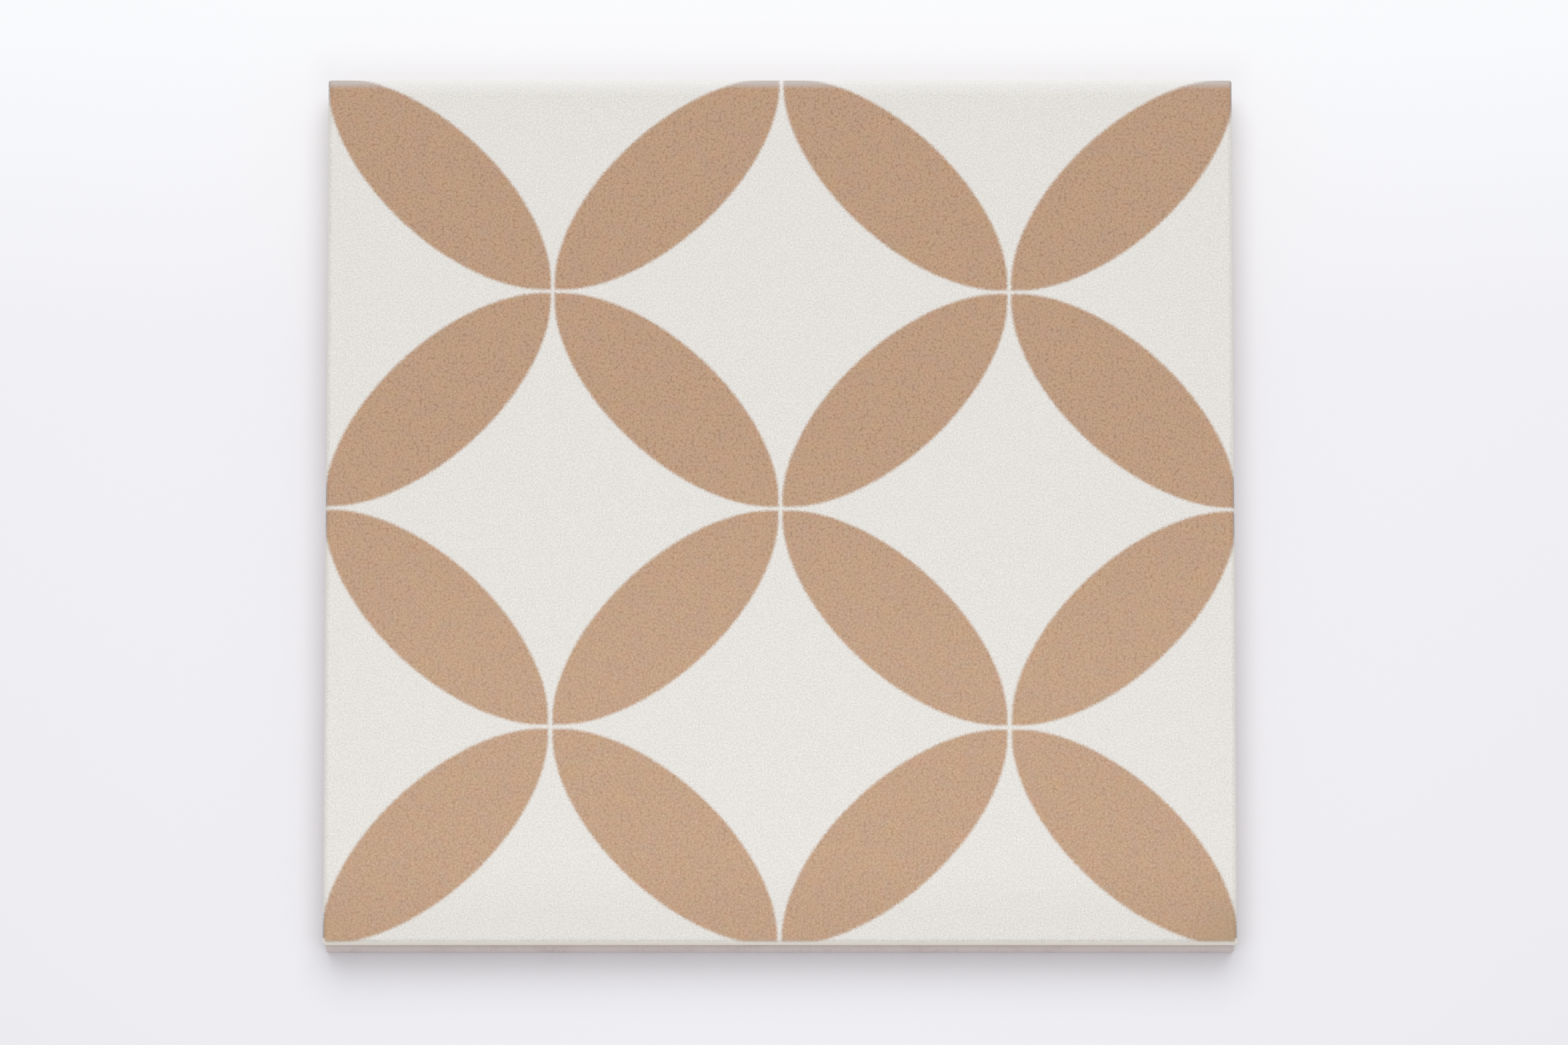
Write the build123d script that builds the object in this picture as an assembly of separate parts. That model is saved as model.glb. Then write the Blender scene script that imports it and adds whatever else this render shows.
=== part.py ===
from build123d import *
import math
import os

# A pressed porcelain floor tile, 200 x 200 x 10 mm, lying on its keyed back.
# Millimetres, +Z up. The origin is the middle of the back, on the plane that the tile rests on.

# The whole tile
TILE_SIDE = 200.0
TILE_THICKNESS = 10.0

# The walking face's edge, which the glaze wraps
ARRIS_RADIUS = 1.2  # rounding between the walking face and the sides
LIP_HEIGHT = 0.6  # upright band under the rounding, as wide as the tile
LIP_CORNER_RADIUS = 0.5  # the four corners seen from above are nearly sharp

# The bare body under the lip
SHOULDER_WIDTH = 0.5  # the body stands back from the lip by this much, all round
SHOULDER_HEIGHT = 0.5  # the step slopes in over this height
SIDE_DRAFT = 1.5  # degrees, narrowing towards the back so that the tile leaves the press die
FOOT_CHAMFER = 0.5  # broken edge between the sides and the back, at 45 degrees
BACK_CORNER_RADIUS = 0.3  # of the back's four corners; the chamfer and the draft widen it upwards

# The keyed back: shallow square cells that adhesive fills, between ribs, inside a plain rim
RIM_WIDTH = 9.5
RIB_WIDTH = 3.0
CELL_SIDE = 13.5  # about, at the mouth: whole cells share the field inside the rim evenly
CELL_CORNER_CUT = 1.5  # the corners of a cell are cut off at 45 degrees
CELL_DEPTH = 0.7
CELL_WALL_DRAFT = 30.0  # degrees from upright

# Heights and widths that follow from these
DRAFTED_HEIGHT = TILE_THICKNESS - ARRIS_RADIUS - LIP_HEIGHT - SHOULDER_HEIGHT - FOOT_CHAMFER
DRAFT_RUN = DRAFTED_HEIGHT * math.tan(math.radians(SIDE_DRAFT))
BODY_TOP_SIDE = TILE_SIDE - 2 * SHOULDER_WIDTH
FOOT_SIDE = BODY_TOP_SIDE - 2 * DRAFT_RUN
BACK_SIDE = FOOT_SIDE - 2 * FOOT_CHAMFER
FOOT_CORNER_RADIUS = BACK_CORNER_RADIUS + FOOT_CHAMFER
BODY_TOP_CORNER_RADIUS = FOOT_CORNER_RADIUS + DRAFT_RUN


def square(side, corner_radius, height):
    """A square outline with rounded corners, level, at a height."""
    return Pos(0, 0, height) * RectangleRounded(side, side, corner_radius)


def glazed_cap():
    """The top of the tile: a square plate with rounded upper edges and nearly sharp corners."""
    cap_height = ARRIS_RADIUS + LIP_HEIGHT
    plate = extrude(Rectangle(TILE_SIDE, TILE_SIDE), cap_height)
    plate = fillet(plate.faces().sort_by(Axis.Z)[-1].edges(), ARRIS_RADIUS)
    plate = Pos(0, 0, TILE_THICKNESS - cap_height) * plate
    return plate & extrude(square(TILE_SIDE, LIP_CORNER_RADIUS, 0), TILE_THICKNESS)


def bare_body():
    """The rest of the thickness: a chamfered foot, drafted sides and the sloping shoulder."""
    foot = extrude(square(BACK_SIDE, BACK_CORNER_RADIUS, 0), FOOT_CHAMFER, taper=-45)
    sides_from = square(FOOT_SIDE, FOOT_CORNER_RADIUS, FOOT_CHAMFER)
    sides = extrude(sides_from, DRAFTED_HEIGHT, taper=-SIDE_DRAFT)
    shoulder_from = FOOT_CHAMFER + DRAFTED_HEIGHT
    shoulder = loft(
        [
            square(BODY_TOP_SIDE, BODY_TOP_CORNER_RADIUS, shoulder_from),
            square(TILE_SIDE, LIP_CORNER_RADIUS, shoulder_from + SHOULDER_HEIGHT),
        ],
        ruled=True,
    )
    return foot + sides + shoulder


def key_cells():
    """The recesses of the back: one drafted cell, repeated over the field inside the rim."""
    field = BACK_SIDE - 2 * RIM_WIDTH
    cells_per_side = max(1, round((field + RIB_WIDTH) / (CELL_SIDE + RIB_WIDTH)))
    pitch = (field + RIB_WIDTH) / cells_per_side
    mouth_side = pitch - RIB_WIDTH
    mouth = chamfer(Rectangle(mouth_side, mouth_side).vertices(), CELL_CORNER_CUT)
    cell = extrude(mouth, CELL_DEPTH, taper=CELL_WALL_DRAFT)
    return [place * cell for place in GridLocations(pitch, pitch, cells_per_side, cells_per_side)]


tile = glazed_cap() + bare_body() - key_cells()
tile.label = "tile"

os.makedirs("parts", exist_ok=True)
export_step(tile, "parts/tile.step")

size = tile.bounding_box().size
print(f"tile {size.X:.2f} x {size.Y:.2f} x {size.Z:.2f} mm")
print(f"solids {len(tile.solids())}, faces {len(tile.faces())}, volume {tile.volume / 1000:.1f} cm3")
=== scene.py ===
# %% [markdown]
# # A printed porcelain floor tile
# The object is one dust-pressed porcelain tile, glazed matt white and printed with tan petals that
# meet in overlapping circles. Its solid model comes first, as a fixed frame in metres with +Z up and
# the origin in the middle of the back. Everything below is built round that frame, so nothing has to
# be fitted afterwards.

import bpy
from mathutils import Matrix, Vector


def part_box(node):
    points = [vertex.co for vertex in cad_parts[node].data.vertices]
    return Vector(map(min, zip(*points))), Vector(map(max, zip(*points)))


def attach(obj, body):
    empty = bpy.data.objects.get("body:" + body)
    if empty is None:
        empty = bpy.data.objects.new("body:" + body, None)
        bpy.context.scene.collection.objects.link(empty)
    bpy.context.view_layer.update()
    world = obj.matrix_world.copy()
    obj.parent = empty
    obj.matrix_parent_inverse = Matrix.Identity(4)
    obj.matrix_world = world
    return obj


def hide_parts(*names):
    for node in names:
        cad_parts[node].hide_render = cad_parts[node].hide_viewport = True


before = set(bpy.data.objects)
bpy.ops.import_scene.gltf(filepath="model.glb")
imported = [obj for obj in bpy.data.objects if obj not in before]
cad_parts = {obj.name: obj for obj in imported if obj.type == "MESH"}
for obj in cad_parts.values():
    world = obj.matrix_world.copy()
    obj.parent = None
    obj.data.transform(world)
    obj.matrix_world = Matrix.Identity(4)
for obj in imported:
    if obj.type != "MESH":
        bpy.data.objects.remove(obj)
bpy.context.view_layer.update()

# %% [markdown]
# ## Sizes of the tile
# A press die gives the tile its section: a flat back, a small chamfer at the foot, sides that draw in
# towards the back so that the tile leaves the die, a sloping shoulder, and an upright lip under the
# rounded arris. The width and the thickness could be typed in again, but they are read from the frame
# here, and only the small radii and steps are named.

# %% Sizes
import math

import bmesh
import bpy
from mathutils import Vector

MM = 0.001
tile_low, tile_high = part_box("tile")
TILE_SIDE = tile_high.x - tile_low.x
TILE_TOP = tile_high.z

ARRIS_RADIUS = 1.2 * MM
LIP_HEIGHT = 0.6 * MM
CORNER_RADIUS = 0.5 * MM
SHOULDER_WIDTH = 0.5 * MM
SHOULDER_HEIGHT = 0.5 * MM
SIDE_DRAFT = math.radians(1.5)
FOOT_CHAMFER = 0.5 * MM

LIP_BOTTOM = TILE_TOP - ARRIS_RADIUS - LIP_HEIGHT
BODY_TOP = LIP_BOTTOM - SHOULDER_HEIGHT
BODY_SIDE = TILE_SIDE - 2 * SHOULDER_WIDTH
FOOT_SIDE = BODY_SIDE - 2 * (BODY_TOP - FOOT_CHAMFER) * math.tan(SIDE_DRAFT)
BACK_SIDE = FOOT_SIDE - 2 * FOOT_CHAMFER
print(f"tile {TILE_SIDE / MM:.1f} mm square, {TILE_TOP / MM:.1f} mm thick, back {BACK_SIDE / MM:.2f} mm")

# %% [markdown]
# ## Selecting in code
# By hand, one clicks the edges to round or the faces to push in. Here a test on their place does the
# clicking: one helper deselects everything and then selects the edges or faces that pass. Places
# closer than a few thousandths of a millimetre count as the same.

# %% A helper that selects
TOUCH = 0.002 * MM


def pick(kind, test):
    """In edit mode, selects the edges or faces that pass the test, and nothing else."""
    bpy.ops.mesh.select_mode(type=kind)
    bpy.ops.mesh.select_all(action="DESELECT")
    mesh = bmesh.from_edit_mesh(bpy.context.object.data)
    parts = {"EDGE": mesh.edges, "FACE": mesh.faces}[kind]
    chosen = [part for part in parts if test(part)]
    for part in chosen:
        part.select_set(True)
    bmesh.update_edit_mesh(bpy.context.object.data)
    return len(chosen)


def at_height(part, height):
    """True if every corner of an edge or face lies at that height."""
    return all(abs(v.co.z - height) < TOUCH for v in part.verts)


print(f"places closer than {TOUCH / MM:.3f} mm count as the same")

# %% [markdown]
# ## The pressed blank
# The real blank is pressed in one stroke. It could be a box with cut edges, but a press works in
# layers of outline, so the back is drawn as a plane first, and each level of the section is extruded
# from it and scaled to its width.

# %% Extrude the section
bpy.ops.object.select_all(action="DESELECT")
bpy.ops.mesh.primitive_plane_add(size=BACK_SIDE, location=(0, 0, 0))
tile = bpy.context.object
tile.name = "glazed_tile"
tile.data.name = "glazed_tile"

SECTION = [(FOOT_CHAMFER, FOOT_SIDE), (BODY_TOP, BODY_SIDE), (LIP_BOTTOM, TILE_SIDE), (TILE_TOP, TILE_SIDE)]

bpy.ops.object.mode_set(mode="EDIT")
height, side = 0.0, BACK_SIDE
for next_height, next_side in SECTION:
    bpy.ops.mesh.extrude_region_move(TRANSFORM_OT_translate={"value": (0, 0, next_height - height)})
    growth = next_side / side
    bpy.ops.transform.resize(value=(growth, growth, 1), center_override=(0, 0, next_height))
    height, side = next_height, next_side
bpy.ops.mesh.select_all(action="SELECT")
bpy.ops.mesh.normals_make_consistent(inside=False)
print("blank:", len(bmesh.from_edit_mesh(tile.data).faces), "faces")

# %% [markdown]
# ## The rim of the back
# The back has a plain rim, and its cells lie in a square field inside. The field is marked out by an
# inset now, while the back is still one clean square: once the corners are rounded, an inset would
# follow their curve. It reaches half a rib into the rim, because every cell will give up that much.

# %% Mark out the field of the back
RIM_WIDTH = 9.5 * MM
RIB_WIDTH = 3.0 * MM

pick("FACE", lambda f: at_height(f, 0))
bpy.ops.mesh.inset(thickness=RIM_WIDTH - RIB_WIDTH / 2, depth=0)
print(f"plain rim {RIM_WIDTH / MM:.1f} mm wide")

# %% [markdown]
# ## Arris and corners
# The glaze wraps a rounded arris, and the four corners seen from above are nearly sharp. A bevel of
# the four top edges gives the arris its round. A second bevel takes the corner edges from the back up
# to the face, with the mitres that the first one left, so that no knife edge is left anywhere.

# %% Round the arris and the corners
ARRIS_STEPS = 10
CORNER_STEPS = 4

rounded = pick("EDGE", lambda e: at_height(e, TILE_TOP))
bpy.ops.mesh.bevel(offset=ARRIS_RADIUS, segments=ARRIS_STEPS, profile=0.5, affect="EDGES")


def climbs_a_corner(edge):
    """True for the edges over the tile's diagonals that run from the back to the face."""
    a, b = (v.co for v in edge.verts)
    over_diagonal = all(abs(abs(p.x) - abs(p.y)) < TOUCH for p in (a, b))
    return over_diagonal and abs(a.z - b.z) > TOUCH


corners = pick("EDGE", climbs_a_corner)
bpy.ops.mesh.bevel(offset=CORNER_RADIUS, segments=CORNER_STEPS, profile=0.5, affect="EDGES")
print(f"rounded {rounded} arrises and {corners} corner edges")

# %% [markdown]
# ## Softer edges on the body
# Fired clay has no razor edges: the shoulder, the lip's lower edge and the foot are worn round by
# handling before the kiln. Small bevels there catch a thin line of light or shade, which is how the
# eye tells that the body stands back under the glaze.

# %% Soften the shoulder and the foot
SOFTENED = [(LIP_BOTTOM, 0.16 * MM), (BODY_TOP, 0.20 * MM), (FOOT_CHAMFER, 0.12 * MM)]
SOFT_STEPS = 2

for level, radius in SOFTENED:
    count = pick("EDGE", lambda e: at_height(e, level))
    bpy.ops.mesh.bevel(offset=radius, segments=SOFT_STEPS, profile=0.5, affect="EDGES")
    print(f"softened {count} edges at {level / MM:.1f} mm by {radius / MM:.2f} mm")

# %% [markdown]
# ## A grid to bend
# No tile is dead straight: in the kiln its face takes a slight wave, and its lip is never a ruled
# line. That needs vertices along the long edges and over the face. A loop cut would do it by hand.
# Here the front of the tile is bisected by two families of upright planes, and the back is left out.

# %% Cut the face and sides into a grid
GRID_STEP = 4 * MM


def off_the_back(face):
    """True for every face but those that lie in the plane of the back."""
    return not at_height(face, 0)


cuts = int(TILE_SIDE / 2 / GRID_STEP) - 1
for step in range(-cuts, cuts + 1):
    for across in (Vector((1, 0, 0)), Vector((0, 1, 0))):
        pick("FACE", off_the_back)
        bpy.ops.mesh.bisect(plane_co=across * step * GRID_STEP, plane_no=across)
print("after the grid:", len(bmesh.from_edit_mesh(tile.data).faces), "faces")

# %% [markdown]
# ## The keyed back
# Adhesive holds the tile by the shallow cells of its back, between ribs, inside a plain rim. One cell
# could be modelled and copied by an array, but then its edges would have to be welded to the rim. It
# is simpler to divide the field into 11 x 11 squares, inset each to leave half a rib round it, and
# inset again with a depth, which makes the drafted walls in the same stroke.

# %% Press in the cells
CELLS = 11
CELL_DEPTH = 0.7 * MM
WALL_DRAFT = math.radians(30)
WALL_RUN = CELL_DEPTH * math.tan(WALL_DRAFT)
FIELD_HALF = BACK_SIDE / 2 - RIM_WIDTH + RIB_WIDTH / 2


def in_the_field(part):
    """True for parts of the back inside the rim."""
    return all(max(abs(v.co.x), abs(v.co.y)) < FIELD_HALF + TOUCH for v in part.verts)


pick("FACE", lambda f: at_height(f, 0) and in_the_field(f))
bpy.ops.mesh.subdivide(number_cuts=CELLS - 1)
bpy.ops.mesh.inset(use_individual=True, thickness=RIB_WIDTH / 2, depth=0)
bpy.ops.mesh.inset(use_individual=True, thickness=WALL_RUN, depth=-CELL_DEPTH)
cells = pick("FACE", lambda f: at_height(f, CELL_DEPTH) and in_the_field(f))
print(f"pressed {cells} cells, {CELL_DEPTH / MM:.1f} mm deep")

# %% [markdown]
# The cells' upright corners are rounded by the die, and the edges of the ribs are soft as well. The
# corners come first, so that the softening of the rib edges can run round them in one loop.

# %% Round the cells
CELL_CORNER = 1.9 * MM
CELL_CORNER_STEPS = 3
RIB_EDGE = 0.18 * MM
CELL_FLOOR_EDGE = 0.25 * MM
FLAT = 0.99


def down_a_cell_corner(edge):
    """True for the edges that join the plane of the ribs to the floor of a cell."""
    low, high = sorted(v.co.z for v in edge.verts)
    return abs(low) < TOUCH and abs(high - CELL_DEPTH) < TOUCH and in_the_field(edge)


def at_a_fold(edge, height):
    """True for edges of the field at that height where a wall meets a flat."""
    flats = sum(abs(face.normal.z) > FLAT for face in edge.link_faces)
    return at_height(edge, height) and in_the_field(edge) and flats == 1


pick("EDGE", down_a_cell_corner)
bpy.ops.mesh.bevel(offset=CELL_CORNER, segments=CELL_CORNER_STEPS, profile=0.5, affect="EDGES")
for fold_height, width in ((0, RIB_EDGE), (CELL_DEPTH, CELL_FLOOR_EDGE)):
    pick("EDGE", lambda e: at_a_fold(e, fold_height))
    bpy.ops.mesh.bevel(offset=width, segments=1, affect="EDGES")
bpy.ops.object.mode_set(mode="OBJECT")
print("tile mesh:", len(tile.data.vertices), "vertices,", len(tile.data.polygons), "faces")

# %% [markdown]
# ## Kiln wave
# The wave of the face and the wander of the lip are a few hundredths of a millimetre. A Displace
# modifier with a soft cloud texture makes both. It only pushes inwards, so the tile stays inside its
# solid, and a vertex group keeps it off the back, which has to lie flat.

# %% Bend the tile slightly
WAVE_LENGTH = 22 * MM
WAVE_DEPTH = 0.07 * MM
FRONT_FROM = 1.5 * CELL_DEPTH

front = tile.vertex_groups.new(name="front")
raised = [v.index for v in tile.data.vertices if v.co.z > FRONT_FROM]
front.add(raised, 1.0, "REPLACE")

wave = bpy.data.textures.new("kiln_wave", "CLOUDS")
wave.noise_scale = WAVE_LENGTH
wave.noise_depth = 2

bend = tile.modifiers.new("kiln wave", "DISPLACE")
bend.texture = wave
bend.texture_coords = "LOCAL"
bend.direction = "NORMAL"
bend.mid_level = 0.0
bend.strength = -WAVE_DEPTH
bend.vertex_group = "front"
bpy.ops.object.modifier_apply(modifier=bend.name)
tile.vertex_groups.clear()
print(f"wave of up to {WAVE_DEPTH / MM:.2f} mm over {WAVE_LENGTH / MM:.0f} mm on {len(raised)} vertices")

# %% [markdown]
# ## Smooth shading
# A flat face beside a rounded arris shades wrongly if both share averaged normals: the face seems to
# swell. Weighted normals let the large faces win, so the face stays flat and the arris stays round.

# %% Shade the mesh
SMOOTH_BELOW = math.radians(35)

bpy.ops.object.shade_smooth_by_angle(angle=SMOOTH_BELOW)
weighted = tile.modifiers.new("weighted normals", "WEIGHTED_NORMAL")
weighted.keep_sharp = True
bpy.ops.object.modifier_apply(modifier=weighted.name)
print("smooth faces:", sum(face.use_smooth for face in tile.data.polygons))

# %% [markdown]
# ## A map of the surface
# When the tile is used elsewhere, its finish is baked to one square picture. The print is what people
# look at, so the face with its arris gets most of the map, the four sides get a strip each above it,
# and the back gets the corner that is left.

# %% Where a point goes on the map
FACE_SHARE = 0.80
STRIP_STEP = 0.048
MARGIN = 0.004
MAP_SCALE = (FACE_SHARE - 2 * MARGIN) / TILE_SIDE
BACK_SCALE = (1 - FACE_SHARE - 2 * MARGIN) / TILE_SIDE


def flat_place(point, start_u, start_v, scale):
    """A point of the tile seen from above, placed in a square of the map."""
    half = TILE_SIDE / 2
    return start_u + (point.x + half) * scale, start_v + (point.y + half) * scale


def map_place(point, region):
    """Where a point goes on the map, for a face in that region of the tile."""
    if region == "face":
        return flat_place(point, MARGIN, MARGIN, MAP_SCALE)
    if region == "back":
        return flat_place(point, FACE_SHARE + MARGIN, MARGIN, BACK_SCALE)
    along = point.x if region in (0, 1) else point.y
    strip = FACE_SHARE + MARGIN + region * STRIP_STEP
    return MARGIN + (along + TILE_SIDE / 2) * MAP_SCALE, strip + point.z * MAP_SCALE


print(f"face mapped at {MAP_SCALE:.2f} and back at {BACK_SCALE:.2f} map widths to a metre")

# %% [markdown]
# A face belongs to the region that it looks towards, and the walls of the cells belong to the back.

# %% Lay out the map
LOOKS_UP = 0.5
BACK_BELOW = 1.2 * CELL_DEPTH


def region_of(face):
    """The face, the back, or the number of one of the four sides."""
    from_centre = max(abs(face.center.x), abs(face.center.y))
    if face.normal.z > LOOKS_UP:
        return "face"
    if face.center.z < BACK_BELOW and from_centre < BACK_SIDE / 2:
        return "back"
    if abs(face.normal.y) > abs(face.normal.x):
        return 0 if face.normal.y < 0 else 1
    return 2 if face.normal.x < 0 else 3


tile.data.uv_layers.new(name="OFBake")
for layer in [layer for layer in tile.data.uv_layers if layer.name != "OFBake"]:
    tile.data.uv_layers.remove(layer)
uv_map = tile.data.uv_layers["OFBake"]
for face in tile.data.polygons:
    region = region_of(face)
    for loop in face.loop_indices:
        point = tile.data.vertices[tile.data.loops[loop].vertex_index].co
        uv_map.data[loop].uv = map_place(point, region)
print("mapped", len(uv_map.data), "corners of faces")

# %% [markdown]
# ## Helpers for the finishes
# Colours are written as the hex values one reads off a screen, and turned to the linear values that
# the renderer works with. One function adds a shader node with its settings and feeds its sockets,
# from other nodes or with plain numbers. Sockets go by name or by number: a Mix node of colours takes
# its share at 0 and its two colours at 6 and 7, and gives the result at output 2. All patterns are
# sized in millimetres, so another function turns the piece's own coordinates from metres to those.

# %% Colour and node helpers
def linear(hex_code):
    """An sRGB hex colour as linear red, green, blue and full opacity."""
    shades = [int(hex_code[i : i + 2], 16) / 255 for i in (0, 2, 4)]
    return (*[s / 12.92 if s <= 0.04045 else ((s + 0.055) / 1.055) ** 2.4 for s in shades], 1.0)


def add_node(tree, kind, inputs=None, **settings):
    """A node with its settings. Each input is fed by another node's output or holds a plain value."""
    node = tree.nodes.new(kind)
    for name, value in settings.items():
        setattr(node, name, value)
    for socket, value in (inputs or {}).items():
        if isinstance(value, bpy.types.NodeSocket):
            tree.links.new(value, node.inputs[socket])
        else:
            node.inputs[socket].default_value = value
    return node


def new_material(name):
    """An empty material, its node tree and its output node."""
    material = bpy.data.materials.new(name)
    material.use_nodes = True
    material.node_tree.nodes.clear()
    return material, material.node_tree, add_node(material.node_tree, "ShaderNodeOutputMaterial")


def in_millimetres(tree):
    """Object coordinates in millimetres, as one vector and as separate X, Y and Z."""
    metres = add_node(tree, "ShaderNodeTexCoord").outputs["Object"]
    vector = add_node(tree, "ShaderNodeMapping", {"Vector": metres, "Scale": (1 / MM, 1 / MM, 1 / MM)})
    parts = add_node(tree, "ShaderNodeSeparateXYZ", {"Vector": vector.outputs[0]})
    return vector.outputs[0], parts.outputs


print("mid grey as linear:", round(linear("808080")[0], 3))

# %% [markdown]
# ## Matt glaze with an inkjet print
# The face is a zirconia-white matt glaze. It is sprayed on, so it is full of fine grain, and the print
# is sprayed over it by an inkjet head and fired in. The eye gets three things from it: a warm white
# that never quite settles, a tan made of drops in several shades, and petal edges that are dotted
# rather than cut. The pattern could be a picture, but a formula stays sharp at any size, needs no
# file, and can be moved. All of its lengths are in millimetres.
#
# Folding the coordinates to and fro at the pitch of the lattice lays all sixteen petals over one, so
# one formula draws them all. The tile never lies quite true under the head, so the lattice is a tenth
# of a millimetre off the middle and turned by an eighth of a degree.

# %% Glaze: fold the lattice
PETAL_PITCH = 50.37
PRINT_SHIFT = (0.1, -0.1)
PRINT_TURN = math.radians(0.12)

glaze, tree, glaze_output = new_material("matt_glaze_with_print")
tile_mm, tile_xyz = in_millimetres(tree)
print_mm = add_node(
    tree,
    "ShaderNodeMapping",
    {"Vector": tile_mm, "Rotation": (0, 0, PRINT_TURN), "Location": (-PRINT_SHIFT[0], -PRINT_SHIFT[1], 0)},
)
print_xyz = add_node(tree, "ShaderNodeSeparateXYZ", {"Vector": print_mm.outputs[0]})
folds = {}
for axis in ("X", "Y"):
    fold = add_node(
        tree, "ShaderNodeMath", {0: print_xyz.outputs[axis], 1: PETAL_PITCH}, operation="PINGPONG"
    )
    folds[axis] = fold.outputs[0]
folded = add_node(tree, "ShaderNodeCombineXYZ", folds)
print("pitch of the lattice:", PETAL_PITCH, "mm")

# %% [markdown]
# The petal now lies on a diagonal, so it is turned level, with its middle at the origin. It is the
# part that two ellipses share, and by symmetry one quarter of it is enough. How far a point lies
# beyond the ellipse, divided by how steeply that grows there, is the distance to the outline. It is
# less than zero inside.

# %% Glaze: distance from the petals' outline
PETAL_LONG = 38.52
PETAL_WIDE = 20.95
PETAL_OVERLAP = 8.84
DIAGONAL = math.radians(45)

half_diagonal = PETAL_PITCH / math.sqrt(2)
on_petal = add_node(
    tree,
    "ShaderNodeMapping",
    {"Vector": folded.outputs[0], "Rotation": (0, 0, -DIAGONAL), "Location": (-half_diagonal, 0, 0)},
)
quarter = add_node(tree, "ShaderNodeVectorMath", {0: on_petal.outputs[0]}, operation="ABSOLUTE")
from_ellipse = add_node(
    tree, "ShaderNodeVectorMath", {0: quarter.outputs[0], 1: (0, PETAL_OVERLAP, 0)}, operation="ADD"
)
INVERSE_AXES = (1 / PETAL_LONG, 1 / PETAL_WIDE, 0)
scaled = add_node(
    tree, "ShaderNodeVectorMath", {0: from_ellipse.outputs[0], 1: INVERSE_AXES}, operation="MULTIPLY"
)
steepness = add_node(
    tree, "ShaderNodeVectorMath", {0: scaled.outputs[0], 1: INVERSE_AXES}, operation="MULTIPLY"
)
reach = add_node(tree, "ShaderNodeVectorMath", {0: scaled.outputs[0]}, operation="LENGTH")
slope = add_node(tree, "ShaderNodeVectorMath", {0: steepness.outputs[0]}, operation="LENGTH")
beyond = add_node(tree, "ShaderNodeMath", {0: reach.outputs["Value"], 1: 1.0}, operation="SUBTRACT")
lever = add_node(
    tree, "ShaderNodeMath", {0: reach.outputs["Value"], 1: slope.outputs["Value"]}, operation="DIVIDE"
)
outline_mm = add_node(
    tree, "ShaderNodeMath", {0: beyond.outputs[0], 1: lever.outputs[0]}, operation="MULTIPLY"
)
print("petal half length:", round(PETAL_LONG * math.sqrt(1 - (PETAL_OVERLAP / PETAL_WIDE) ** 2), 2), "mm")

# %% [markdown]
# The drops fall straight down, so they are the cells of a flat Voronoi pattern. Each has a colour of
# its own, and its channels serve as throws of a die. The first throw moves a drop in or out a little.
# Real drops are about 0.08 mm wide, too fine for a picture of the whole tile, so they are drawn as
# clusters of 0.14 mm.

# %% Glaze: drops of ink
DROP = 0.14
DROP_SCATTER = 0.5

drops = add_node(
    tree,
    "ShaderNodeTexVoronoi",
    {"Vector": tile_mm, "Scale": 1 / DROP},
    feature="F1",
    voronoi_dimensions="2D",
)
throws = add_node(tree, "ShaderNodeSeparateColor", {"Color": drops.outputs["Color"]})
moved_out = add_node(
    tree,
    "ShaderNodeMapRange",
    {"Value": throws.outputs[0], "To Min": -DROP_SCATTER / 2, "To Max": DROP_SCATTER / 2},
)
print(f"drops {DROP} mm wide, moved by up to {DROP_SCATTER / 2} mm")

# %% [markdown]
# The head lays a little more ink on the far half of the tile, so the petals there are a few
# hundredths of a millimetre wider, and later on a shade darker. The ink fades over the rest of the
# soft edge.

# %% Glaze: load of ink and soft edge
LOAD_LEAST_Y = -45
LOAD_MOST_Y = 25
SPREAD = 0.04
EDGE_FADE = 0.62

ink_load = add_node(
    tree,
    "ShaderNodeMapRange",
    {"Value": tile_xyz["Y"], "From Min": LOAD_LEAST_Y, "From Max": LOAD_MOST_Y, "To Min": -1, "To Max": 1},
    interpolation_type="SMOOTHSTEP",
)
spread_mm = add_node(
    tree,
    "ShaderNodeMath",
    {0: ink_load.outputs[0], 1: -SPREAD, 2: moved_out.outputs[0]},
    operation="MULTIPLY_ADD",
)
drop_mm = add_node(
    tree, "ShaderNodeMath", {0: outline_mm.outputs[0], 1: spread_mm.outputs[0]}, operation="ADD"
)
in_petal = add_node(
    tree,
    "ShaderNodeMapRange",
    {"Value": drop_mm.outputs[0], "From Min": EDGE_FADE / 2, "From Max": -EDGE_FADE / 2},
)
print(f"petal edge {DROP_SCATTER + EDGE_FADE:.2f} mm soft")

# %% [markdown]
# The ink runs over the arris and gives out where the glaze turns upright. On the near side it stops
# short, at the top of the arris, and leaves a pale line.

# %% Glaze: where the print ends
NEAR_INK_NONE_Z = 9.35
NEAR_INK_FULL_Z = 9.95
WRAP = 0.95
WRAP_NONE_Y = -98.8
WRAP_FULL_Y = -98.4

wrap_mm = add_node(
    tree,
    "ShaderNodeMapRange",
    {"Value": tile_xyz["Y"], "From Min": WRAP_NONE_Y, "From Max": WRAP_FULL_Y, "To Max": WRAP},
)
ink_z = add_node(tree, "ShaderNodeMath", {0: tile_xyz["Z"], 1: wrap_mm.outputs[0]}, operation="ADD")
faces_up = add_node(
    tree,
    "ShaderNodeMapRange",
    {"Value": ink_z.outputs[0], "From Min": NEAR_INK_NONE_Z, "From Max": NEAR_INK_FULL_Z},
)
inked = add_node(
    tree, "ShaderNodeMath", {0: in_petal.outputs[0], 1: faces_up.outputs[0]}, operation="MULTIPLY"
)
print(f"the ink thins below {NEAR_INK_FULL_Z} mm on the near side, {WRAP} mm lower on the others")

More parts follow.
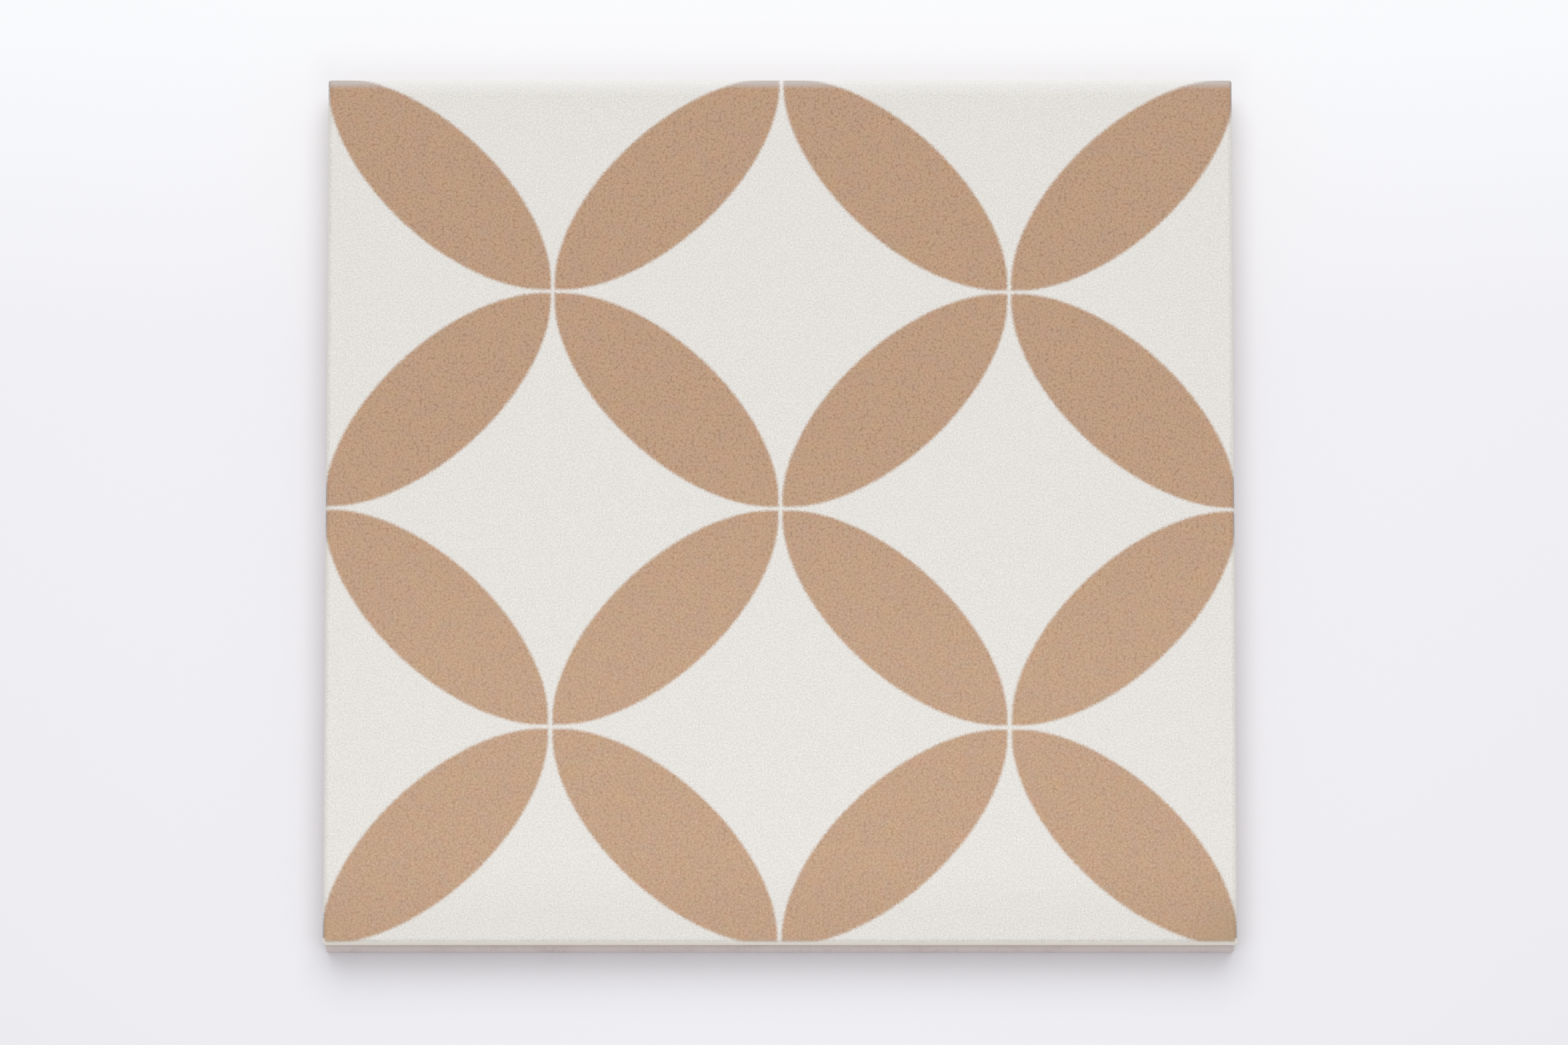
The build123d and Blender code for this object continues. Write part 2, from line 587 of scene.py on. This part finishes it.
# %% [markdown]
# The tan is four shades of ink, chosen by the second throw. Throws alone would clump into blotches,
# but the head spaces its darker drops evenly, so the distance to the centres of wider cells shades
# the ink too. It never gets much past 0.85 of a cell.

# %% Glaze: shade of the ink
INK_DARK = "946F4F"
INK_TAN = "B89275"
INK_WARM = "C09D81"
INK_PALE = "D6B8A0"
TAN_AT = 0.35
WARM_AT = 0.70
SCREEN = 0.6
SCREEN_REACH = 0.85
SCREEN_SHADE = 0.22
THROW_SHADE = 0.5
LOAD_SHADE = 0.06

screen = add_node(
    tree,
    "ShaderNodeTexVoronoi",
    {"Vector": tile_mm, "Scale": 1 / SCREEN},
    feature="F1",
    voronoi_dimensions="2D",
)
middle_shade = (1 - THROW_SHADE) / 2
screen_shade = add_node(
    tree,
    "ShaderNodeMapRange",
    {
        "Value": screen.outputs["Distance"],
        "From Max": SCREEN_REACH,
        "To Min": middle_shade + SCREEN_SHADE,
        "To Max": middle_shade - SCREEN_SHADE,
    },
)
drop_shade = add_node(
    tree,
    "ShaderNodeMath",
    {0: throws.outputs[1], 1: THROW_SHADE, 2: screen_shade.outputs[0]},
    operation="MULTIPLY_ADD",
)
ink_shade = add_node(
    tree,
    "ShaderNodeMath",
    {0: ink_load.outputs[0], 1: -LOAD_SHADE, 2: drop_shade.outputs[0]},
    operation="MULTIPLY_ADD",
)
ink = add_node(tree, "ShaderNodeValToRGB", {"Fac": ink_shade.outputs[0]})
ink.color_ramp.elements[0].color = linear(INK_DARK)
ink.color_ramp.elements[1].color = linear(INK_PALE)
ink.color_ramp.elements.new(TAN_AT).color = linear(INK_TAN)
ink.color_ramp.elements.new(WARM_AT).color = linear(INK_WARM)
print("inks:", INK_DARK, INK_TAN, INK_WARM, INK_PALE)

# %% [markdown]
# Uneven spraying lays a slow tint over the tan, from olive to pink and from straw to ash, by two
# channels of one noise. A noise seldom leaves the range from 0.3 to 0.7, so that range is spread over
# the whole tint.

# %% Glaze: tints of the ink
BLOTCH = 3.5
NOISE_LOW = 0.3
NOISE_HIGH = 0.7
OLIVE_TINT = "F7FDFB"
PINK_TINT = "FFFAF8"
STRAW_TINT = "FFFFF3"
ASH_TINT = "FAFAFF"

blotches = add_node(
    tree,
    "ShaderNodeTexNoise",
    {"Vector": tile_mm, "Scale": 1 / BLOTCH, "Detail": 3.0, "Roughness": 0.65},
)
blotch = add_node(tree, "ShaderNodeSeparateColor", {"Color": blotches.outputs["Color"]})
tan = ink.outputs["Color"]
for channel, low_tint, high_tint in ((0, OLIVE_TINT, PINK_TINT), (1, STRAW_TINT, ASH_TINT)):
    share = add_node(
        tree,
        "ShaderNodeMapRange",
        {"Value": blotch.outputs[channel], "From Min": NOISE_LOW, "From Max": NOISE_HIGH},
    )
    tint = add_node(
        tree,
        "ShaderNodeMix",
        {0: share.outputs[0], 6: linear(low_tint), 7: linear(high_tint)},
        data_type="RGBA",
    )
    tinted = add_node(
        tree, "ShaderNodeMix", {0: 1.0, 6: tan, 7: tint.outputs[2]}, data_type="RGBA", blend_type="MULTIPLY"
    )
    tan = tinted.outputs[2]
print("tints:", OLIVE_TINT, PINK_TINT, STRAW_TINT, ASH_TINT)

# %% [markdown]
# The white has its own fine grain, clouded by the third channel of that noise.

# %% Glaze: the white
WHITE_LOW = "D2CFC8"
WHITE_HIGH = "EAE7E1"
GRAIN = 0.40
CLOUD = 0.10

grain = add_node(
    tree,
    "ShaderNodeTexNoise",
    {"Vector": tile_mm, "Scale": 1 / GRAIN, "Detail": 2.0, "Roughness": 0.6},
)
clouded = add_node(
    tree,
    "ShaderNodeMath",
    {0: blotch.outputs[2], 1: CLOUD, 2: grain.outputs["Fac"]},
    operation="MULTIPLY_ADD",
)
speckle = add_node(
    tree,
    "ShaderNodeMapRange",
    {"Value": clouded.outputs[0], "From Min": NOISE_LOW + CLOUD / 2, "From Max": NOISE_HIGH + CLOUD / 2},
)
white = add_node(
    tree,
    "ShaderNodeMix",
    {0: speckle.outputs[0], 6: linear(WHITE_LOW), 7: linear(WHITE_HIGH)},
    data_type="RGBA",
)
print("white from", WHITE_LOW, "to", WHITE_HIGH)

# %% [markdown]
# The edges differ. Along the far edge the white is painted brighter over the last few millimetres:
# a painted sheen, standing for the reflection of the bright wall beyond the far edge. At the two near
# corners the petals are a shade more olive, as if more ink had run together there, most of all at the
# right one.

# %% Glaze: far edge and near corners
PAINTED_SHEEN_WHITE = "F5F5F4"
PAINTED_SHEEN_SHARE = 0.55
PAINTED_SHEEN_FROM_Y = 96.0
PAINTED_SHEEN_FULL_Y = 99.8
HALF_TILE = round(TILE_SIDE / MM) / 2
NEAR_CORNER = (HALF_TILE, -HALF_TILE, 0)
STAIN_REACH = 16
STAIN_LEFT = 0.08
STAIN_RIGHT = 0.52

# Painted sheen: towards the far edge the white is mixed with a brighter white.
painted_far_sheen = add_node(
    tree,
    "ShaderNodeMapRange",
    {
        "Value": tile_xyz["Y"],
        "From Min": PAINTED_SHEEN_FROM_Y,
        "From Max": PAINTED_SHEEN_FULL_Y,
        "To Max": PAINTED_SHEEN_SHARE,
    },
)
white_with_painted_sheen = add_node(
    tree,
    "ShaderNodeMix",
    {0: painted_far_sheen.outputs[0], 6: white.outputs[2], 7: linear(PAINTED_SHEEN_WHITE)},
    data_type="RGBA",
)
from_middle = add_node(tree, "ShaderNodeMath", {0: tile_xyz["X"]}, operation="ABSOLUTE")
half_tile = add_node(tree, "ShaderNodeCombineXYZ", {"X": from_middle.outputs[0], "Y": tile_xyz["Y"]})
from_corner = add_node(
    tree, "ShaderNodeVectorMath", {0: half_tile.outputs[0], 1: NEAR_CORNER}, operation="DISTANCE"
)
stain_full = add_node(
    tree,
    "ShaderNodeMapRange",
    {
        "Value": tile_xyz["X"],
        "From Min": -HALF_TILE,
        "From Max": HALF_TILE,
        "To Min": STAIN_LEFT,
        "To Max": STAIN_RIGHT,
    },
)
stain = add_node(
    tree,
    "ShaderNodeMapRange",
    {
        "Value": from_corner.outputs["Value"],
        "From Min": STAIN_REACH,
        "From Max": 0,
        "To Max": stain_full.outputs[0],
    },
    interpolation_type="SMOOTHSTEP",
)
print(f"stain reaches {STAIN_REACH} mm from the near corners")

# %% [markdown]
# Along the far edge the ink is painted a greyish tan, a painted reflection of the bright far wall in
# the arris. On the left and right arrises a thin grey-brown rim is painted shade, where the arris
# turns away from the light.

# %% Glaze: colour of the petals
CORNER_OLIVE = "A58D6A"
PAINTED_SHEEN_GREY = "BFB4AD"
INK_SHEEN_FROM_Y = 97.6
INK_SHEEN_FULL_Y = 99.0
RIM_SHADE_BROWN = "AC9E95"
RIM_FROM_X = 99.45
RIM_FULL_X = 99.80

# Painted reflection: towards the far edge the ink turns a greyish tan.
painted_ink_sheen = add_node(
    tree, "ShaderNodeMapRange", {"Value": tile_xyz["Y"], "From Min": INK_SHEEN_FROM_Y, "From Max": INK_SHEEN_FULL_Y}
)
# Painted shade: a greyer, darker rim over the ink on the left and right arrises.
painted_rim_shade = add_node(
    tree,
    "ShaderNodeMapRange",
    {"Value": from_middle.outputs[0], "From Min": RIM_FROM_X, "From Max": RIM_FULL_X},
)
petal_colour = tan
for share, edge_colour in ((stain, CORNER_OLIVE), (painted_ink_sheen, PAINTED_SHEEN_GREY), (painted_rim_shade, RIM_SHADE_BROWN)):
    edged = add_node(
        tree,
        "ShaderNodeMix",
        {0: share.outputs[0], 6: petal_colour, 7: linear(edge_colour)},
        data_type="RGBA",
    )
    petal_colour = edged.outputs[2]
print("petals at the edges:", CORNER_OLIVE, PAINTED_SHEEN_GREY, RIM_SHADE_BROWN)

# %% [markdown]
# Now the petals go on the white. Towards the near edge, face and print alike are made a shade darker
# over the last centimetre or two.

# %% Glaze: print on the white
NEAR_DULL = "F9F9F9"
DULL_FROM_Y = -80
DULL_FULL_Y = -96

laid_on = add_node(
    tree,
    "ShaderNodeMix",
    {0: inked.outputs[0], 6: white_with_painted_sheen.outputs[2], 7: petal_colour},
    data_type="RGBA",
)
near_share = add_node(
    tree,
    "ShaderNodeMapRange",
    {"Value": tile_xyz["Y"], "From Min": DULL_FROM_Y, "From Max": DULL_FULL_Y},
    interpolation_type="SMOOTHSTEP",
)
printed = add_node(
    tree,
    "ShaderNodeMix",
    {0: near_share.outputs[0], 6: laid_on.outputs[2], 7: linear(NEAR_DULL)},
    data_type="RGBA",
    blend_type="MULTIPLY",
)
print("near edge dulled by", NEAR_DULL)

# %% [markdown]
# Over the arris the glaze runs thin, most of all on the near side, and the body shows through as
# cream. Height tells the arris from the face, and a little noise in it keeps the cream from starting
# on a ruled line. The other sides get a quarter of it.

# %% Glaze: thin on the arris
ARRIS_CREAM = "ECE5D8"
CREAM_FROM_Z = 9.74
CREAM_FULL_Z = 9.55
CREAM_NEAR_Y = -99.0
CREAM_FAR_Y = -97.0
CREAM_ELSEWHERE = 0.25
WANDER = 3.0
WANDER_HEIGHT = 0.22

wander = add_node(tree, "ShaderNodeTexNoise", {"Vector": tile_mm, "Scale": 1 / WANDER, "Detail": 3.0})
wander_mm = add_node(
    tree,
    "ShaderNodeMapRange",
    {"Value": wander.outputs["Fac"], "To Min": -WANDER_HEIGHT, "To Max": WANDER_HEIGHT},
)
uneven_z = add_node(tree, "ShaderNodeMath", {0: tile_xyz["Z"], 1: wander_mm.outputs[0]}, operation="ADD")
thin = add_node(
    tree,
    "ShaderNodeMapRange",
    {"Value": uneven_z.outputs[0], "From Min": CREAM_FROM_Z, "From Max": CREAM_FULL_Z},
)
thin_side = add_node(
    tree,
    "ShaderNodeMapRange",
    {
        "Value": tile_xyz["Y"],
        "From Min": CREAM_NEAR_Y,
        "From Max": CREAM_FAR_Y,
        "To Min": 1.0,
        "To Max": CREAM_ELSEWHERE,
    },
)
thin_here = add_node(
    tree, "ShaderNodeMath", {0: thin.outputs[0], 1: thin_side.outputs[0]}, operation="MULTIPLY"
)
not_inked = add_node(tree, "ShaderNodeMath", {0: 1.0, 1: inked.outputs[0]}, operation="SUBTRACT")
creamy = add_node(
    tree, "ShaderNodeMath", {0: thin_here.outputs[0], 1: not_inked.outputs[0]}, operation="MULTIPLY"
)
glazed = add_node(
    tree,
    "ShaderNodeMix",
    {0: creamy.outputs[0], 6: printed.outputs[2], 7: linear(ARRIS_CREAM)},
    data_type="RGBA",
)
print(f"glaze thins below {CREAM_FROM_Z} mm")

# %% [markdown]
# Where the lip ends, the glaze ends too, unevenly, and the bare body shows under it.

# %% Glaze: where it ends
BODY_GREY = "D4C6C0"
GLAZE_END_Z = 8.36
GLAZE_END_FADE = 0.04

bare = add_node(
    tree,
    "ShaderNodeMapRange",
    {
        "Value": uneven_z.outputs[0],
        "From Min": GLAZE_END_Z + GLAZE_END_FADE,
        "From Max": GLAZE_END_Z - GLAZE_END_FADE,
    },
)
glaze_colour = add_node(
    tree,
    "ShaderNodeMix",
    {0: bare.outputs[0], 6: glazed.outputs[2], 7: linear(BODY_GREY)},
    data_type="RGBA",
)
print(f"glaze ends near {GLAZE_END_Z} mm")

# %% [markdown]
# A matt glaze is a glass full of tiny crystals: it reflects as glass does, but spread wide, and where
# it is inked a little wider still. Under the fingers it is like eggshell. Two scales of bump give
# that, a grain and a shallow orange peel.

# %% Glaze: surface
ORANGE_PEEL = 2.2
PEEL_TO_GRAIN = 1.7
EGGSHELL_DEPTH = 0.014 * MM
WHITE_ROUGHNESS = 0.46
PRINT_ROUGHNESS = 0.54
GLASS_IOR = 1.5

peel = add_node(tree, "ShaderNodeTexNoise", {"Vector": tile_mm, "Scale": 1 / ORANGE_PEEL, "Detail": 1.0})
relief = add_node(
    tree,
    "ShaderNodeMath",
    {0: peel.outputs["Fac"], 1: PEEL_TO_GRAIN, 2: grain.outputs["Fac"]},
    operation="MULTIPLY_ADD",
)
eggshell = add_node(
    tree, "ShaderNodeBump", {"Height": relief.outputs[0], "Strength": 1.0, "Distance": EGGSHELL_DEPTH}
)
sheen = add_node(
    tree,
    "ShaderNodeMapRange",
    {"Value": inked.outputs[0], "To Min": WHITE_ROUGHNESS, "To Max": PRINT_ROUGHNESS},
)
glaze_shader = add_node(
    tree,
    "ShaderNodeBsdfPrincipled",
    {
        "Base Color": glaze_colour.outputs[2],
        "Roughness": sheen.outputs[0],
        "IOR": GLASS_IOR,
        "Normal": eggshell.outputs[0],
    },
)
tree.links.new(glaze_shader.outputs[0], glaze_output.inputs["Surface"])
print("glaze material:", len(tree.nodes), "nodes")

# %% [markdown]
# ## Fired porcelain body
# Under the glaze the body is bare: pressed from spray-dried granules and fired until it stops
# drinking water. It gives the eye a dull pinkish grey with fine darker and paler granules, a faint
# drag of the die up the sides, and no shine. Granules, slow clouds and drag add up to one shade, and
# a ramp turns it to clay.

# %% Body: granules and drag
BODY_DARK = "C7B9B3"
BODY_PALE = "DED1CB"
GRANULE = 0.4
GRANULE_SHADE = 0.35
CLAY_CLOUD = 9.0
DRAG = 0.8
DRAG_STRETCH = 0.12
DRAG_SHADE = 0.5
DARK_AT = 0.45
GREY_AT = 0.72
PALE_AT = 27 / 28

body, tree, body_output = new_material("fired_porcelain_body")
tile_mm, tile_xyz = in_millimetres(tree)
granules = add_node(
    tree, "ShaderNodeTexVoronoi", {"Vector": tile_mm, "Scale": 1 / GRANULE}, feature="F1"
)
granule_shade = add_node(tree, "ShaderNodeSeparateColor", {"Color": granules.outputs["Color"]})
clouding = add_node(
    tree, "ShaderNodeTexNoise", {"Vector": tile_mm, "Scale": 1 / CLAY_CLOUD, "Detail": 3.0}
)
drag_mm = add_node(tree, "ShaderNodeMapping", {"Vector": tile_mm, "Scale": (1, 1, DRAG_STRETCH)})
drag = add_node(
    tree, "ShaderNodeTexNoise", {"Vector": drag_mm.outputs[0], "Scale": 1 / DRAG, "Detail": 2.0}
)
clay_shade = clouding.outputs["Fac"]
for part, weight in ((granule_shade.outputs[0], GRANULE_SHADE), (drag.outputs["Fac"], DRAG_SHADE)):
    added = add_node(tree, "ShaderNodeMath", {0: part, 1: weight, 2: clay_shade}, operation="MULTIPLY_ADD")
    clay_shade = added.outputs[0]
clay = add_node(tree, "ShaderNodeValToRGB", {"Fac": clay_shade})
clay.color_ramp.elements[0].position = DARK_AT
clay.color_ramp.elements[0].color = linear(BODY_DARK)
clay.color_ramp.elements[1].position = PALE_AT
clay.color_ramp.elements[1].color = linear(BODY_PALE)
clay.color_ramp.elements.new(GREY_AT).color = linear(BODY_GREY)
print(f"body granules {GRANULE} mm")

# %% [markdown]
# Towards the glaze the body is painted a shade browner and darker: painted shade under the overhanging lip.

# %% Body: painted shade under the lip
LIP_SHADE_BROWN = "B5A399"
LIP_SHADE_LOW_Z = 3.0
LIP_SHADE_HIGH_Z = 8.4
LIP_SHADE_SHARE = 0.8

# Painted shade: near the top of the side the body is mixed towards a darker brown.
painted_lip_shade = add_node(
    tree,
    "ShaderNodeMapRange",
    {"Value": tile_xyz["Z"], "From Min": LIP_SHADE_LOW_Z, "From Max": LIP_SHADE_HIGH_Z, "To Max": LIP_SHADE_SHARE},
    interpolation_type="SMOOTHSTEP",
)
side_with_lip_shade = add_node(
    tree,
    "ShaderNodeMix",
    {0: painted_lip_shade.outputs[0], 6: clay.outputs["Color"], 7: linear(LIP_SHADE_BROWN)},
    data_type="RGBA",
)
print(f"lip_shade from {LIP_SHADE_LOW_Z} to {LIP_SHADE_HIGH_Z} mm")

# %% [markdown]
# The ribs and rim of the back carry a chalky wash that keeps the tile off the kiln rollers, rubbed
# away in streaks along the way it travelled. It is only where the back touches, so height shows it.

# %% Body: wash on the back
WASH_WHITE = "E9E6E2"
STREAK = 2.5
STREAK_STRETCH = 0.06
RUBBED_NONE = 0.42
RUBBED_FULL = 0.58
WASH_NONE_Z = 0.16
WASH_FULL_Z = 0.02

streak_mm = add_node(tree, "ShaderNodeMapping", {"Vector": tile_mm, "Scale": (1, STREAK_STRETCH, 1)})
streaks = add_node(
    tree, "ShaderNodeTexNoise", {"Vector": streak_mm.outputs[0], "Scale": 1 / STREAK, "Detail": 4.0}
)
unrubbed = add_node(
    tree,
    "ShaderNodeMapRange",
    {"Value": streaks.outputs["Fac"], "From Min": RUBBED_NONE, "From Max": RUBBED_FULL},
)
on_ribs = add_node(
    tree, "ShaderNodeMapRange", {"Value": tile_xyz["Z"], "From Min": WASH_NONE_Z, "From Max": WASH_FULL_Z}
)
washed = add_node(
    tree, "ShaderNodeMath", {0: unrubbed.outputs[0], 1: on_ribs.outputs[0]}, operation="MULTIPLY"
)
body_colour = add_node(
    tree,
    "ShaderNodeMix",
    {0: washed.outputs[0], 6: side_with_lip_shade.outputs[2], 7: linear(WASH_WHITE)},
    data_type="RGBA",
)
print("wash", WASH_WHITE, "on the ribs")

# %% [markdown]
# Fired clay spreads light widely, so the body is rougher than the glaze. The gaps between granules
# and the drag of the die stand out as a fine relief.

# %% Body: surface
GRANULE_RELIEF = 1.5
BODY_RELIEF = 0.03 * MM
BODY_ROUGHNESS = 0.82
BODY_IOR = 1.5

pits = add_node(
    tree,
    "ShaderNodeMath",
    {0: granules.outputs["Distance"], 1: GRANULE_RELIEF, 2: drag.outputs["Fac"]},
    operation="MULTIPLY_ADD",
)
pressed = add_node(
    tree, "ShaderNodeBump", {"Height": pits.outputs[0], "Strength": 1.0, "Distance": BODY_RELIEF}
)
body_shader = add_node(
    tree,
    "ShaderNodeBsdfPrincipled",
    {
        "Base Color": body_colour.outputs[2],
        "Roughness": BODY_ROUGHNESS,
        "IOR": BODY_IOR,
        "Normal": pressed.outputs[0],
    },
)
tree.links.new(body_shader.outputs[0], body_output.inputs["Surface"])
print("body material:", len(tree.nodes), "nodes")

# %% [markdown]
# ## Which face gets which finish
# The glaze covers everything down to the lip's lower edge. Height alone tells the two apart. Then the
# finished tile is tied to the frame: it rides on the only body and takes the place of the plain solid.

# %% Put the finishes on
tile.data.materials.append(glaze)
tile.data.materials.append(body)
GLAZED = 0
BARE = 1
for face in tile.data.polygons:
    face.material_index = GLAZED if face.center.z > LIP_BOTTOM else BARE
print("glazed faces:", sum(face.material_index == GLAZED for face in tile.data.polygons))

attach(tile, "root")
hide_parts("tile")

# %% [markdown]
# ## The floor
# The tile lies on white paper, slightly cool beside the warm glaze. A wide plane serves, and its colour
# carries painted light: a gradient along the tile's depth, brighter beyond the far edge than beside the
# tile and darkest on the near side.

# %% Lay the paper
PAPER_SIDE = 60
PAPER_FAR = "FDFEFF"
PAPER_MIDDLE = "F2F2F5"
PAPER_NEAR = "EBEBEE"
PAPER_REACH = 0.12
MIDDLE_AT = 0.66

bpy.ops.object.select_all(action="DESELECT")
bpy.ops.mesh.primitive_plane_add(size=PAPER_SIDE, location=(0, 0, 0))
floor = bpy.context.object
floor.name = "paper_floor"
paper, tree, paper_output = new_material("white_paper")
place = add_node(tree, "ShaderNodeTexCoord").outputs["Object"]
paper_xyz = add_node(tree, "ShaderNodeSeparateXYZ", {"Vector": place})
how_far = add_node(
    tree,
    "ShaderNodeMapRange",
    {"Value": paper_xyz.outputs["Y"], "From Min": -PAPER_REACH, "From Max": PAPER_REACH},
)
# Painted light: the paper runs from a bright far side to a darker near side.
paper_white_and_falloff = add_node(tree, "ShaderNodeValToRGB", {"Fac": how_far.outputs[0]})
paper_white_and_falloff.color_ramp.elements[0].color = linear(PAPER_NEAR)
paper_white_and_falloff.color_ramp.elements[1].color = linear(PAPER_FAR)
paper_white_and_falloff.color_ramp.elements.new(MIDDLE_AT).color = linear(PAPER_MIDDLE)
paper_shader = add_node(tree, "ShaderNodeBsdfDiffuse", {"Color": paper_white_and_falloff.outputs["Color"]})
tree.links.new(paper_shader.outputs[0], paper_output.inputs["Surface"])
floor.data.materials.append(paper)
print("paper from", PAPER_NEAR, "to", PAPER_FAR)

# %% [markdown]
# ## Light
# The light of the room is soft and comes from all round, a shade cooler than the rest, so shadows on
# the paper turn faintly lavender. A plain world colour gives it.
#
# The camera itself sees the world only where the paper ends, so its rays get the paper's colour. So
# do mirrored rays, because the sheen of the glaze has to show the white that lies round the tile, and
# rays that have passed through something clear.

# %% Room
SKY_LEVEL = 0.59
SKY_TINT = (0.99, 1.0, 1.035)

world = bpy.data.worlds.new("soft_room")
bpy.context.scene.world = world
world.use_nodes = True
tree = world.node_tree
tree.nodes.clear()
ray = add_node(tree, "ShaderNodeLightPath").outputs
seen_or_mirrored = add_node(
    tree, "ShaderNodeMath", {0: ray["Is Camera Ray"], 1: ray["Is Glossy Ray"]}, operation="MAXIMUM"
)
seen = add_node(
    tree,
    "ShaderNodeMath",
    {0: seen_or_mirrored.outputs[0], 1: ray["Is Transmission Ray"]},
    operation="MAXIMUM",
)
sky = [SKY_LEVEL * part for part in SKY_TINT]
room_colour = add_node(
    tree, "ShaderNodeMix", {0: seen.outputs[0], 6: (*sky, 1.0), 7: linear(PAPER_FAR)}, data_type="RGBA"
)
room_light = add_node(tree, "ShaderNodeBackground", {"Color": room_colour.outputs[2], "Strength": 1.0})
add_node(tree, "ShaderNodeOutputWorld", {"Surface": room_light.outputs[0]})
print("room level", SKY_LEVEL)

# %% [markdown]
# A bright wall stands beyond the far edge, which leaves the near side in shade. A sun with a wide
# disc serves for it. A square lamp over the near edge adds a little, and makes the near half of the
# tile a shade brighter. Each is set by the level that it gives on the tile, from its slant and, for
# the lamp, its distance. Room, wall and lamp add up to about one, so a colour on the tile renders
# about as it is written.

# %% Far wall and near lamp
SUN_LEVEL = 0.33
SUN_TINT = (1.02, 1.0, 0.98)
SUN_DISC = math.radians(60)
FAR_TILT = math.radians(30)
LAMP_LEVEL = 0.10
LAMP_SIDE = 0.20
LAMP_AT = Vector((0, -0.20, 0.35))

bpy.ops.object.light_add(type="SUN", location=(0, 0, 1))
sun = bpy.context.object
sun.name = "far_wall_light"
sun.data.energy = SUN_LEVEL * math.pi / math.cos(FAR_TILT)
sun.data.angle = SUN_DISC
sun.data.color = SUN_TINT
sun.rotation_euler = (-FAR_TILT, 0, 0)

lamp_distance = LAMP_AT.length
lamp_slant = LAMP_AT.z / lamp_distance
bpy.ops.object.light_add(type="AREA", location=LAMP_AT)
lamp = bpy.context.object
lamp.name = "near_lamp"
lamp.data.size = LAMP_SIDE
lamp.data.energy = LAMP_LEVEL * math.pi**2 * lamp_distance**2 / lamp_slant
lamp.rotation_euler = LAMP_AT.to_track_quat("Z", "Y").to_euler()
print(f"far wall {SUN_LEVEL}, lamp {LAMP_LEVEL}, all together {SKY_LEVEL + SUN_LEVEL + LAMP_LEVEL:.2f}")

# %% [markdown]
# ## Camera
# The tile is seen from above and a little from the near side, through a long lens that keeps it
# square. The lens is set first, and the distance follows from how wide the tile is in the frame.

# %% Camera
FRAME_WIDE = 2352
TILE_IN_FRAME = 1364
SENSOR = 36.0
LENS = 500.0
TILT = math.radians(18)
AIM = Vector((0.87 * MM, -3.3 * MM, TILE_TOP))
CLIP_END = 100

span = TILE_SIDE * FRAME_WIDE / TILE_IN_FRAME
camera_distance = span * LENS / SENSOR
towards_camera = Vector((0, -math.sin(TILT), math.cos(TILT)))
bpy.ops.object.camera_add(location=AIM + towards_camera * camera_distance, rotation=(TILT, 0, 0))
camera = bpy.context.object
camera.data.sensor_width = SENSOR
camera.data.lens = LENS
camera.data.clip_end = CLIP_END
bpy.context.scene.camera = camera
bpy.context.scene.view_settings.view_transform = "Standard"
print(f"camera {camera_distance:.2f} m away, tilted {math.degrees(TILT):.0f} degrees")
